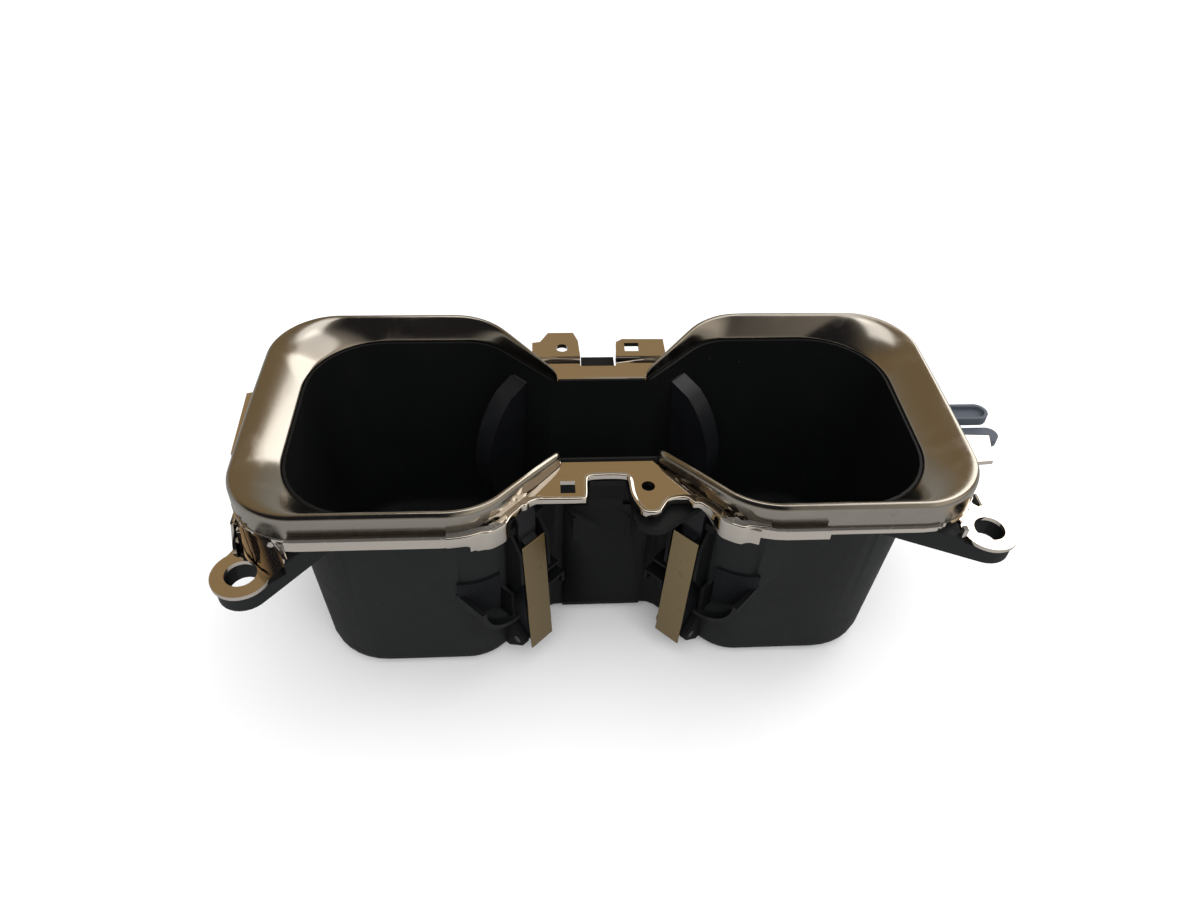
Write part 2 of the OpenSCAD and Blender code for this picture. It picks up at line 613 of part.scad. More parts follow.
module carrier_frame() color("#a3906f") {
    difference() {
        union() {
            difference() {
                ring(grown(crest, 0.6), grown(well, rim_seam + 0.1), frame_low, frame_top);
                translate([-neck_x, -big / 2, 0]) cube([2 * neck_x, big, holder_h]);
            }
            lips();
            difference() {
                translate([0, 0, plate_top - plate_t]) linear_extrude(plate_t) difference() {
                    union() {
                        front_plate_shape();
                        rear_plate_shape();
                    }
                    polygon(loop(grown(well, rim_seam + 0.1)));
                }
                rim_room();
            }
            translate([0, 0, plate_top]) linear_extrude(plate_t) rear_tab_shape();
            for (t = rear_tabs) translate([t[0], rear_fold, plate_top - plate_t])
                cube([t[1] - t[0], plate_t, 2 * plate_t]);
            tab_posts();
        }
        clip_slots();
    }
    ears();
    side_tabs();
}

// Flat tabs on the two ends
module side_tabs() translate([0, 0, frame_low]) linear_extrude(frame_t) {
    polygon([[-crest[0] + 2, -14], [-crest[0] - 4.5, -14], [-crest[0] - 6, 16], [-crest[0] + 2, 18]]);
    polygon([[crest[0] - 2, -10], [crest[0] + 14, -11], [crest[0] + 11, -23], [crest[0] - 2, -24]]);
}

// Felt pads on the front wall, in the knees, cut to the cradles' curve
felt_x = knee_x + 9;
felt_top = holder_h - 40;
felt_low = holder_h - 57;
felt_seat = 0.05;
felt_gap = 0.3;
function felt_strip(p) = concat([[felt_x, p[1]]],
    [for (i = [corner_steps + 1:corner_steps + knee_steps]) shoulder(p)[i]]);
function felt_ring(p, z, s) = concat([for (v = felt_strip(p)) [s * v[0], -v[1], z]],
    [for (v = back_to_front(felt_strip(grown(p, felt_t)))) [s * v[0], -v[1], z]]);
module felt_pad(s) {
    points = concat(felt_ring(grown(well, wall + felt_seat + wall_out(felt_low)), felt_low, s),
        felt_ring(grown(well, wall + felt_seat + wall_out(felt_top)), felt_top, s));
    n = len(points) / 2;
    sides = [for (i = [0:n - 1]) let (j = (i + 1) % n) [i, j, n + j, n + i]];
    ends = [for (i = [0:n / 2 - 2]) [i + 1, i, n - 1 - i, n - 2 - i],
        for (i = [0:n / 2 - 2]) [n + i, n + i + 1, 2 * n - 2 - i, 2 * n - 1 - i]];
    faces = split(concat(sides, ends));
    color("#0c0c0e") difference() {
        polyhedron(points, s > 0 ? [for (f = faces) back_to_front(f)] : faces, convexity = 4);
        corner(s, -1) outwards(-cradle_r, cradle_r) difference() {
            translate([cradle_x - cradle_r, cradle_z - 2 * cradle_r])
                square([2 * cradle_r + felt_gap, 2 * cradle_r]);
            translate([cradle_x, cradle_z]) circle(r = cradle_r - cradle_t - felt_gap, $fn = 72);
        }
        corner(s, -1) outwards(-cradle_r, cradle_r)
            translate([cradle_x - cradle_r, cradle_z - cradle_r])
                square([cradle_r + 2 * rail_t + felt_gap, 2 * cradle_r]);
    }
}

module gripper_front_left() gripper(-1, -1);
module gripper_front_right() gripper(1, -1);
module gripper_rear_left() gripper(-1, 1);
module gripper_rear_right() gripper(1, 1);
module leaf_spring_front_left() leaf_spring(-1, -1);
module leaf_spring_front_right() leaf_spring(1, -1);
module leaf_spring_rear_left() leaf_spring(-1, 1);
module leaf_spring_rear_right() leaf_spring(1, 1);
module hinge_pin_front_left() hinge_pin(-1, -1);
module hinge_pin_front_right() hinge_pin(1, -1);
module hinge_pin_rear_left() hinge_pin(-1, 1);
module hinge_pin_rear_right() hinge_pin(1, 1);
module felt_pad_left() felt_pad(-1);
module felt_pad_right() felt_pad(1);
cup_tub();
carrier_frame();
rim_left();
rim_right();
gripper_front_left();
gripper_front_right();
gripper_rear_left();
gripper_rear_right();
leaf_spring_front_left();
leaf_spring_front_right();
leaf_spring_rear_left();
leaf_spring_rear_right();
hinge_pin_front_left();
hinge_pin_front_right();
hinge_pin_rear_left();
hinge_pin_rear_right();
felt_pad_left();
felt_pad_right();
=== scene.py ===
"""Studio look of a double car cup holder: satin rims, plated frame, moulded tub and sprung grippers."""

import math

import bmesh
import bpy
import numpy as np
from bpy.props import FloatProperty, FloatVectorProperty, IntProperty, PointerProperty
from mathutils import Matrix, Vector


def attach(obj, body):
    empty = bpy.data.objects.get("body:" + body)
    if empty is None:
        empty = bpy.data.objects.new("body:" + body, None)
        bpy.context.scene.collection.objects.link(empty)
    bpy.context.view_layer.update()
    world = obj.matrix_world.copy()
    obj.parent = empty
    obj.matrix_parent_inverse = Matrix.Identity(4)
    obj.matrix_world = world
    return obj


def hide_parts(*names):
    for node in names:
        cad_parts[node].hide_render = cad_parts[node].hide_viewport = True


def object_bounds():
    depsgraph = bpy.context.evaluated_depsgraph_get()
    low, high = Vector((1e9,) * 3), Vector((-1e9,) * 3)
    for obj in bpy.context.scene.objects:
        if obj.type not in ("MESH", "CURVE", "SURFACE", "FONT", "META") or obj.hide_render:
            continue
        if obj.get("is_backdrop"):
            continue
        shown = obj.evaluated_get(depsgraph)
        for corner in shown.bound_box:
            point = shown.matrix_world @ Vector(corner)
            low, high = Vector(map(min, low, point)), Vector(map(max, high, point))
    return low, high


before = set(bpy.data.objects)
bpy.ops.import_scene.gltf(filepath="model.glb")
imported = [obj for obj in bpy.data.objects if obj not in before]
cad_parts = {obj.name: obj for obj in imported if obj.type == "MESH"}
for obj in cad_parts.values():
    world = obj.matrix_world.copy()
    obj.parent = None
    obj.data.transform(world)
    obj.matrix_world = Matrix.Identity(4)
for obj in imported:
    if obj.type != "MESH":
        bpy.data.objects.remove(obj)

bl_info = {
    "name": "Car Cup Holder",
    "version": (1, 0, 0),
    "blender": (4, 5, 0),
    "location": "View3D > Sidebar > Cup Holder",
    "description": "Dresses the packed car cup holder and sets up its studio",
    "category": "Object",
}

cad_low, cad_high = (list(corner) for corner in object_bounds())
MM = 0.001
CREST = cad_high[2]
CORNERS = ("front_left", "front_right", "rear_left", "rear_right")


# ---------------------------------------------------------------- sizes and colours


class CupHolderSizes(bpy.types.PropertyGroup):
    """Sizes of the rims, the edges, the camera and the studio"""

    rim_length: FloatProperty(name="Rim length", description="Length over both rims", default=0.230,
                              unit="LENGTH")
    rim_depth: FloatProperty(name="Rim depth", description="Depth over the rims, front to back", default=0.101,
                             unit="LENGTH")
    well_length: FloatProperty(name="Well length", description="Length of the opening over both wells",
                               default=0.203, unit="LENGTH")
    well_depth: FloatProperty(name="Well depth", description="Depth of the wells, front to back", default=0.084,
                              unit="LENGTH")
    neck_width: FloatProperty(name="Neck width", description="Width of the neck between the wells",
                              default=0.039, unit="LENGTH")
    rim_fall: FloatProperty(name="Rim fall", description="Fall of a rim from its crest to its inner edge",
                            default=0.0068, unit="LENGTH")
    neck_drop: FloatProperty(name="Neck drop", description="How much lower a rim is where it ends at the neck",
                             default=0.0042, unit="LENGTH")
    rim_gap: FloatProperty(name="Rim gap", description="Gap between the two rims across the neck",
                           default=0.0312, unit="LENGTH")
    rim_seam: FloatProperty(name="Rim seam", description="Gap between a rim's inner edge and the well's wall",
                            default=0.0011, unit="LENGTH")
    rim_wall: FloatProperty(name="Rim thickness", description="Thickness of a rim's shell", default=0.0013,
                            unit="LENGTH")
    roll_width: FloatProperty(name="Roll width",
                              description="Width of the rounding from a rim's crest to its outer wall",
                              default=0.0017, unit="LENGTH")
    roll_height: FloatProperty(name="Roll height",
                               description="Height of the rounding from a rim's crest to its outer wall",
                               default=0.0021, unit="LENGTH")
    frame_drop: FloatProperty(name="Frame drop", description="Depth of the frame's top below the crest",
                              default=0.0085, unit="LENGTH")
    end_round: FloatProperty(name="End rounding", description="Radius on top of a rim's two ends at the neck",
                             default=0.0022, unit="LENGTH")
    end_bow: FloatProperty(name="End bow", description="How far a rim's end bows outwards", default=0.0008,
                           unit="LENGTH")
    plated_edge: FloatProperty(name="Plated edge", description="Radius on the edges of the plated frame",
                               default=0.00028, unit="LENGTH")
    plastic_edge: FloatProperty(name="Plastic edge", description="Radius on the edges of the moulded parts",
                                default=0.00030, unit="LENGTH")
    spring_edge: FloatProperty(name="Spring edge", description="Radius on the edges of the leaf springs",
                               default=0.00012, unit="LENGTH")
    edge_steps: IntProperty(name="Edge steps", description="Faces across each rounded edge", default=3, min=1,
                            max=6)
    camera_place: FloatVectorProperty(name="Camera place", description="Where the camera stands",
                                      default=(-0.02338, -0.22650, 0.28071), subtype="XYZ", unit="LENGTH")
    camera_heading: FloatProperty(name="Camera heading",
                                  description="Turn of the view from straight back towards the right",
                                  default=math.radians(5.573), subtype="ANGLE")
    camera_dip: FloatProperty(name="Camera dip", description="How far the view looks down",
                              default=math.radians(43.151), subtype="ANGLE")
    camera_roll: FloatProperty(name="Camera roll", description="Roll of the camera about its view",
                               default=math.radians(2.889), subtype="ANGLE")
    camera_lens: FloatProperty(name="Lens", description="Focal length in millimetres on a 36 mm wide sensor",
                               default=27.0)
    floor_size: FloatProperty(name="Floor size", description="Side of the square floor", default=6.0,
                              unit="LENGTH")


class CupHolderColours(bpy.types.PropertyGroup):
    """Colours of the object's finishes and of the studio"""

    rim: FloatVectorProperty(name="Rim", description="Satin nickel of the rims", default=(0.475, 0.44, 0.385),
                             subtype="COLOR", min=0, max=1)
    plated: FloatVectorProperty(name="Plated frame", description="Glossy bronze plating of the frame",
                                default=(0.90, 0.83, 0.74), subtype="COLOR", min=0, max=1)
    tub: FloatVectorProperty(name="Tub", description="Moulded plastic of the tub",
                             default=(0.0060, 0.0064, 0.0066), subtype="COLOR", min=0, max=1)
    # A paler grey that the tub's two tongues at the right-hand end are given
    pale_tongues: FloatVectorProperty(name="Pale tongue plastic",
                                  description="Greyed plastic of the tabs at the right-hand end",
                                  default=(0.085, 0.095, 0.115), subtype="COLOR", min=0, max=1)
    gripper: FloatVectorProperty(name="Gripper", description="Satin plastic of the grippers",
                                 default=(0.0085, 0.009, 0.0105), subtype="COLOR", min=0, max=1)
    spring: FloatVectorProperty(name="Leaf spring", description="Bronze plating of the leaf springs",
                                default=(0.50, 0.38, 0.21), subtype="COLOR", min=0, max=1)
    pin: FloatVectorProperty(name="Hinge pin", description="Bright steel of the hinge pins",
                             default=(0.20, 0.20, 0.195), subtype="COLOR", min=0, max=1)
    felt: FloatVectorProperty(name="Felt", description="Black felt of the pads", default=(0.006, 0.0065, 0.008),
                              subtype="COLOR", min=0, max=1)
    dust: FloatVectorProperty(name="Dust", description="Dust in the grooves", default=(0.19, 0.16, 0.13),
                              subtype="COLOR", min=0, max=1)
    floor: FloatVectorProperty(name="Floor", description="Pale studio floor", default=(0.92, 0.92, 0.92),
                               subtype="COLOR", min=0, max=1)


# ---------------------------------------------------------------- outlines and meshes

# An outline is [end, side, corner radius, knee x, knee radius, neck x, neck y]
KNEE_RUN = 0.023
NECK_X = 0.0175
WELL_CORNER_R, WELL_KNEE_R = 0.025, 0.020
CREST_CORNER_R, CREST_KNEE_R = 0.022, 0.024
CREST_NECK_Y = 0.022
DROP_FROM = 0.057
FACE_CURVE = 1.6
FACE_PLACES = (0.0, 0.14, 0.28, 0.42, 0.56, 0.70, 0.84)
ROLL_STEPS = 6

# Each flange's plan in millimetres: (x, y, height from the crest, depth of the skirt).
# The middle and the right one run to the right, and the left one runs to the left. Their outside is in front.
FLANGES = {
    "middle": (
        (-22.4, -37.2, -7.95, 1.7), (-9.1, -37.5, -7.95, 1.7), (-8.0, -36.6, -7.95, 1.7),
        (-7.8, -28.7, -7.95, 1.7), (-7.0, -27.1, -7.95, 1.7), (4.7, -27.1, -7.95, 1.7),
        (5.5, -28.7, -7.95, 1.7), (5.5, -35.8, -7.95, 1.7), (8.1, -42.1, -7.95, 1.9),
        (9.4, -43.4, -7.95, 1.9), (12.6, -43.6, -7.95, 1.9), (14.0, -42.8, -7.95, 1.9),
    ),
    "left": (
        (-21.5, -36.9, -7.95, 1.7), (-23.6, -37.1, -7.95, 1.9), (-25.9, -38.3, -7.9, 2.2),
        (-26.6, -39.6, -7.9, 2.2), (-27.9, -39.7, -7.9, 2.2), (-28.8, -41.2, -7.8, 2.2),
        (-31.2, -44.0, -7.6, 3.0), (-32.3, -46.9, -7.4, 7.0), (-33.1, -48.2, -7.3, 7.3),
        (-37.0, -50.9, -7.1, 7.4), (-39.2, -51.0, -7.0, 7.4), (-41.2, -51.8, -6.95, 7.3),
        (-43.4, -52.5, -6.95, 4.0), (-46.1, -53.0, -6.95, 3.8), (-49.7, -53.4, -6.95, 3.8),
    ),
    "right": (
        (14.0, -42.9, -7.95, 1.9), (16.1, -39.3, -7.95, 2.0), (17.9, -37.7, -7.95, 2.6),
        (22.6, -37.5, -7.95, 2.6), (23.8, -38.9, -7.9, 2.2), (24.6, -40.2, -7.9, 2.0),
        (26.3, -40.0, -7.8, 2.0), (28.4, -42.1, -7.7, 3.0), (30.3, -44.4, -7.5, 6.0),
        (31.9, -47.9, -7.3, 7.3), (34.8, -49.9, -7.1, 7.4), (37.8, -51.4, -7.0, 7.4),
        (39.1, -50.9, -6.95, 7.3), (41.4, -51.0, -6.95, 7.2), (43.4, -51.4, -6.95, 4.0),
        (46.0, -51.8, -6.95, 3.8),
    ),
}
# The flange's section: (offset outwards in millimetres, rise in millimetres, share of the skirt's depth)
FLANGE_SECTION = (
    (-3.0, -0.12, 0), (-0.9, -0.02, 0), (-0.6, 0.25, 0), (-0.05, 0.25, 0), (0.2, -0.1, 0),
    (0.2, -0.4, 0.3), (0.2, 0, 1), (-0.6, 0, 1), (-0.6, -0.9, 0), (-3.0, -0.9, 0),
)
END_STEPS, CORNER_STEPS, SIDE_STEPS, KNEE_STEPS, DIAGONAL_STEPS = 10, 26, 14, 18, 26
RIM_LEAN = 0.3 * MM

# How a CAD node's copy is cleaned and shaded
MERGE_DISTANCE = 0.01 * MM
FLAT_ANGLE = math.radians(0.4)
EDGE_ANGLE = math.radians(30)
SWEPT_ANGLE = math.radians(35)

# Where dirt gathers on the frame: upward faces between these heights and in front of this line
GROOVE_LOW, GROOVE_HIGH, GROOVE_FRONT = CREST - 12 * MM, CREST - 6.88 * MM, -47 * MM
# The tub's outer walls, painted lighter: the middle of a well, the neck's half length, and how far out a wall
# has to face
WELL_MIDDLE, NECK_HALF, WALL_OUT = 62 * MM, 34 * MM, 12 * MM
# The two paler tongues at the right-hand end: the colour changes over these stretches of X and Y
TONGUE_X, TONGUE_Y = (116 * MM, 119 * MM), (-20 * MM, -15 * MM)

# Lamps: azimuth and elevation in degrees, distance and size in metres, power in watts, whether metal mirrors it
SOFTBOXES = {
    "window_softbox": (42, 30, 1.5, (0.84, 1.09), 6.0, True),
    "glow_softbox": (30, 62, 1.6, (0.95, 0.8), 2.3, True),
    "ceiling_softbox": (88, 69, 1.5, (0.60, 0.55), 1.5, True),
    "top_softbox": (-90, 76, 1.6, (1.4, 1.4), 9.5, False),
    "fill_softbox": (-82, 42, 1.8, (1.8, 1.2), 11.5, False),
}
# The room that metal mirrors: (sine of the elevation, colour). In front it has a left and a right colour.
ROOM = (
    (0.0, (0.42, 0.41, 0.39)), (0.10, (0.34, 0.33, 0.305)), (0.33, (0.29, 0.26, 0.21)),
    (0.50, (0.27, 0.20, 0.115)), (0.72, (0.26, 0.18, 0.09)), (0.92, (0.14, 0.12, 0.09)),
)
ROOM_FRONT_LEFT, ROOM_FRONT_RIGHT = (0.012, 0.011, 0.013), (0.60, 0.54, 0.47)
# The stretches of the direction's Y, Z and X over which that front, its upper part and its right part set in
FRONT_Y, FRONT_Z, FRONT_X = (0.25, -0.15), (0.10, 0.36), (0.15, 0.55)
EVEN_LIGHT = (0.64, 0.64, 0.65)
# The floor's own glow for the camera near the part and far from it, and the distances between which it grows.
# The scale makes a distance along X count for less.
GLOW_NEAR, GLOW_FAR, GLOW_FROM, GLOW_TO = (0.06, 0.06, 0.06), (0.40, 0.40, 0.40), 0.10, 0.34
GLOW_SCALE = (0.7, 1.0, 1.0)


def outlines(sizes):
    """The outline vectors of the wells and of the rims' crest."""
    knee_x = NECK_X + KNEE_RUN
    well = np.array([sizes.well_length / 2, sizes.well_depth / 2, WELL_CORNER_R, knee_x, WELL_KNEE_R, NECK_X,
                     sizes.neck_width / 2])
    crest = np.array([sizes.rim_length / 2, sizes.rim_depth / 2, CREST_CORNER_R, knee_x, CREST_KNEE_R,
                      sizes.rim_gap / 2, CREST_NECK_Y])
    return well, crest


def neck_angle(p):
    """The angle f of the wall from the knee down to the neck."""
    return np.arctan2(p[..., 1] - p[..., 6], p[..., 3] - p[..., 5])


def grown(p, d):
    """An outline moved outwards by d: ends, sides and radii grow by d, the knee slides by d * tan(f / 2)."""
    slide = d * np.tan(neck_angle(p) / 2)
    return p + np.array([d, d, d, -slide, d, -slide, d])


def arc(centre_x, centre_y, radius, start, turn, steps):
    """Circular arc: centre + radius * (cos a, sin a), with a running from start over turn."""
    a = start + turn * np.linspace(0, 1, steps)
    return np.stack([centre_x + radius * np.cos(a), centre_y + radius * np.sin(a)], -1)


def straight(a, b, steps):
    """Points between a and b at a + (b - a) * t."""
    t = np.linspace(0, 1, steps + 2)[1:-1, None]
    return a + (b - a) * t


def tightening(a, b, steps):
    """Points between a and b at a + (b - a) * (1 - (1 - t)^2), so that they crowd towards b."""
    t = np.linspace(0, 1, steps + 2)[1:-1, None]
    return a + (b - a) * (1 - (1 - t) ** 2)


def c_path(p, stop_x):
    """A C round one well: neck, diagonal, knee arc, side, corner arc, end, and the same mirrored in front."""
    f = neck_angle(p)
    half = math.pi / 2
    corner = arc(p[0] - p[2], p[1] - p[2], p[2], 0, half, CORNER_STEPS)
    knee = arc(p[3] + p[4] * np.tan(f / 2), p[1] - p[4], p[4], half, f, KNEE_STEPS)
    stop = np.array([stop_x, knee[-1, 1] - (knee[-1, 0] - stop_x) * np.tan(f)])
    diagonal = np.concatenate([tightening(knee[-1], stop, DIAGONAL_STEPS), stop[None]])
    back = np.concatenate([corner, straight(corner[-1], knee[0], SIDE_STEPS), knee, diagonal])
    front = back[::-1] * (1, -1)
    return np.concatenate([front, straight(front[-1], back[0], END_STEPS), back])


def rounded(section, rounds):
    """Chaikin's corner cutting on a closed section: each edge keeps its points at 1/4 and 3/4 of its length."""
    for _ in range(rounds):
        after = np.roll(section, -1, axis=0)
        cut = np.stack([0.75 * section + 0.25 * after, 0.25 * section + 0.75 * after], 1)
        section = cut.reshape(-1, section.shape[1])
    return section


def new_object(name, points, faces, material):
    """A mesh object at the origin from points and faces, shaded smooth up to an angle."""
    mesh = bpy.data.meshes.new(name)
    mesh.from_pydata(points.tolist(), [], faces)
    mesh.validate()
    mesh.shade_smooth()
    mesh.set_sharp_from_angle(angle=SWEPT_ANGLE)
    mesh.materials.append(material)
    obj = bpy.data.objects.new(name, mesh)
    bpy.context.scene.collection.objects.link(obj)
    return obj


def swept(name, points, flipped, material):
    """A closed shell from a grid of points: quads of a tube, whose rows run along the path and whose columns
    run round the section, and a cap on each end. Flipped turns the faces over, so that they look outwards."""
    rows, columns = points.shape[:2]
    r, c = np.meshgrid(np.arange(rows - 1), np.arange(columns), indexing="ij")
    after = (c + 1) % columns
    here, ahead = r * columns, (r + 1) * columns
    quads = np.stack([here + c, here + after, ahead + after, ahead + c], -1)
    faces = quads.reshape(-1, 4).tolist()
    faces.append(list(range(columns))[::-1])
    faces.append(list(range((rows - 1) * columns, rows * columns)))
    if flipped:
        faces = [f[::-1] for f in faces]
    return new_object(name, points.reshape(-1, 3), faces, material)


def make_rim(name, side, sizes, material):
    """A rim's closed shell: a rounded section from the inner edge over the crest and down to the frame, carried
    along a C. The face falls by fall * (1 - t)^FACE_CURVE from the crest, and a quarter of an ellipse rolls it
    into the wall. The height at each place is the section's height less its share of the drop, which is a
    parabola towards the neck and a quarter circle at the very end."""
    well, crest = outlines(sizes)
    inner = grown(well, sizes.rim_seam)
    top, low, wall = CREST, CREST - sizes.frame_drop, sizes.rim_wall
    fall = sizes.rim_fall

    def row(outline, height, share):
        return np.concatenate([outline, [height, share]])

    def between(t):
        return inner + (grown(crest, -sizes.roll_width) - inner) * t

    face = [row(between(t), top - fall * (1 - t) ** FACE_CURVE, t) for t in FACE_PLACES]
    roll = [row(grown(crest, sizes.roll_width * (math.sin(a) - 1)),
                top - sizes.roll_height * (1 - math.cos(a)), 1)
            for a in np.linspace(0, math.pi / 2, ROLL_STEPS)]
    section = np.array([
        row(inner, top - fall - wall, 0), row(inner, top - fall - wall / 2, 0), *face, *roll,
        row(grown(crest, RIM_LEAN / 2), top - 0.6 * sizes.frame_drop, 0.6),
        row(grown(crest, RIM_LEAN), low + 0.6 * MM, 0.1), row(grown(crest, RIM_LEAN), low, 0),
        row(grown(crest, -wall), low, 0), row(grown(crest, -wall), low + 0.8 * MM, 0.1),
        row(between(0.45), top - fall * 0.55 ** FACE_CURVE - 1.2 * wall, 0.45),
    ])
    section = rounded(section, 2)
    stop = sizes.rim_gap / 2
    x, y = c_path(crest, stop).T
    drop = sizes.neck_drop * (np.clip(DROP_FROM - x, 0, None) / (DROP_FROM - stop)) ** 2
    near_end = np.clip(1 - (x - stop) / sizes.end_round, 0, 1)
    drop += sizes.end_round * (1 - np.sqrt(1 - near_end ** 2))
    grid = np.stack([c_path(s[:-2], stop) for s in section], 1)
    bow = sizes.end_bow * np.clip(1 - (y / crest[1]) ** 2, 0, 1) * np.clip((x / crest[0] - 0.8) / 0.2, 0, 1)
    share = section[:, -1]
    points = np.empty(grid.shape[:2] + (3,))
    points[..., 0] = grid[..., 0] + bow[:, None] * share
    points[..., 1] = grid[..., 1]
    points[..., 2] = section[:, -2] - share * drop[:, None]
    points[..., 0] *= side
    return swept(name, points, side < 0, material)


def make_flange(name, place, material):
    """The frame's stamped front edge: a shelf, a bead and a skirt of changing depth, carried along a plan curve
    that Chaikin's corner cutting rounds. A section point lies at path + offset * outward in plan, and its
    height is the path's height + rise - share * the skirt's depth."""
    path = np.array(FLANGES[place]) * MM
    side = -1 if place == "left" else 1
    for _ in range(2):
        cut = np.stack([0.75 * path[:-1] + 0.25 * path[1:], 0.25 * path[:-1] + 0.75 * path[1:]], 1)
        path = np.concatenate([path[:1], cut.reshape(-1, 4), path[-1:]])
    heading = np.gradient(path[:, :2], axis=0)
    heading /= np.linalg.norm(heading, axis=1, keepdims=True)
    outward = side * np.stack([heading[:, 1], -heading[:, 0]], 1)
    offset, rise, share = (rounded(np.array(FLANGE_SECTION), 1) * (MM, MM, 1)).T
    points = np.empty((len(path), len(offset), 3))
    points[..., :2] = path[:, None, :2] + offset[None, :, None] * outward[:, None]
    points[..., 2] = CREST + path[:, 2, None] + rise - share * path[:, 3, None]
    return swept(name, points, side > 0, material)


def dressed_copy(node, name, material, edge=0, steps=1):
    """A merged copy of a CAD node, with flat faces joined. An edge radius, where given, catches the light."""
    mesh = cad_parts[node].data.copy()
    mesh.materials.clear()
    shell = bmesh.new()
    shell.from_mesh(mesh)
    bmesh.ops.remove_doubles(shell, verts=shell.verts, dist=MERGE_DISTANCE)
    bmesh.ops.dissolve_limit(shell, angle_limit=FLAT_ANGLE, verts=shell.verts, edges=shell.edges)
    shell.to_mesh(mesh)
    shell.free()
    mesh.name = name
    mesh.shade_smooth()
    mesh.set_sharp_from_angle(angle=EDGE_ANGLE)
    mesh.materials.append(material)
    obj = bpy.data.objects.new(name, mesh)
    bpy.context.scene.collection.objects.link(obj)
    if edge > 0:
        bevel = obj.modifiers.new("rounded_edges", "BEVEL")
        bevel.width = edge
        bevel.segments = steps
        bevel.limit_method = "ANGLE"
        bevel.angle_limit = EDGE_ANGLE
        bevel.harden_normals = True
        bevel.use_clamp_overlap = True
    return obj


def placed(obj, body, slot, *nodes):
    """The piece rides on its body and stands for its CAD nodes, which it hides. Its slot is not used."""
    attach(obj, body)
    if nodes:
        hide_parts(*nodes)
    return obj


# ---------------------------------------------------------------- node groups and materials


def add(tree, kind, values=None, **settings):
    """A node with its settings and the values or links of its inputs."""
    node = tree.nodes.new(kind)
    for key, value in settings.items():
        setattr(node, key, value)
    for key, value in (values or {}).items():
        if isinstance(value, bpy.types.NodeSocket):
            tree.links.new(value, node.inputs[key])
        else:
            node.inputs[key].default_value = value
    return node


def new_group(name, inputs, outputs):
    """An empty shader node group with named number inputs and outputs."""
    tree = bpy.data.node_groups.new(name, "ShaderNodeTree")
    for label, default in inputs.items():
        socket = tree.interface.new_socket(name=label, in_out="INPUT", socket_type="NodeSocketFloat")
        socket.default_value = default
    for label in outputs:
        tree.interface.new_socket(name=label, in_out="OUTPUT", socket_type="NodeSocketFloat")
    return tree, tree.nodes.new("NodeGroupInput"), tree.nodes.new("NodeGroupOutput")


def smudge_group():
    """Cloudy handling marks: distorted noise, cut to soft patches. Scale is in patches per metre."""
    if "Handling Smudges" in bpy.data.node_groups:
        return bpy.data.node_groups["Handling Smudges"]
    tree, taken, given = new_group("Handling Smudges", {"Scale": 60.0, "From": 0.5, "To": 0.75}, ["Mask"])
    place = add(tree, "ShaderNodeTexCoord")
    noise = add(tree, "ShaderNodeTexNoise", {"Vector": place.outputs["Object"],
                                             "Scale": taken.outputs["Scale"],
                                             "Detail": 7.0, "Roughness": 0.62, "Distortion": 0.7})
    cut = add(tree, "ShaderNodeMapRange", {"Value": noise.outputs["Fac"], "From Min": taken.outputs["From"],
                                           "From Max": taken.outputs["To"]},
              interpolation_type="SMOOTHSTEP")
    tree.links.new(cut.outputs["Result"], given.inputs["Mask"])
    return tree


def speck_group():
    """Dust specks: a dot in the middle of a share of the cells of a cell pattern."""
    if "Dust Specks" in bpy.data.node_groups:
        return bpy.data.node_groups["Dust Specks"]
    tree, taken, given = new_group("Dust Specks", {"Scale": 900.0, "Size": 0.16, "Share": 0.2}, ["Mask"])
    place = add(tree, "ShaderNodeTexCoord")
    cells = add(tree, "ShaderNodeTexVoronoi", {"Vector": place.outputs["Object"],
                                               "Scale": taken.outputs["Scale"]})
    dot = add(tree, "ShaderNodeMath", {0: cells.outputs["Distance"], 1: taken.outputs["Size"]},
              operation="LESS_THAN")
    shade = add(tree, "ShaderNodeSeparateColor", {"Color": cells.outputs["Color"]})
    chosen = add(tree, "ShaderNodeMath", {0: shade.outputs["Red"], 1: taken.outputs["Share"]},
                 operation="LESS_THAN")
    tree.links.new(product(tree, dot.outputs[0], chosen.outputs[0]), given.inputs["Mask"])
    return tree


def grain_group():
    """Fine grain of a moulded or brushed surface, as a height from 0 to 1."""
    if "Fine Grain" in bpy.data.node_groups:
        return bpy.data.node_groups["Fine Grain"]
    tree, taken, given = new_group("Fine Grain", {"Scale": 2200.0}, ["Height"])
    place = add(tree, "ShaderNodeTexCoord")
    noise = add(tree, "ShaderNodeTexNoise", {"Vector": place.outputs["Object"], "Scale": taken.outputs["Scale"],
                                             "Detail": 3.0, "Roughness": 0.6})
    tree.links.new(noise.outputs["Fac"], given.inputs["Height"])
    return tree


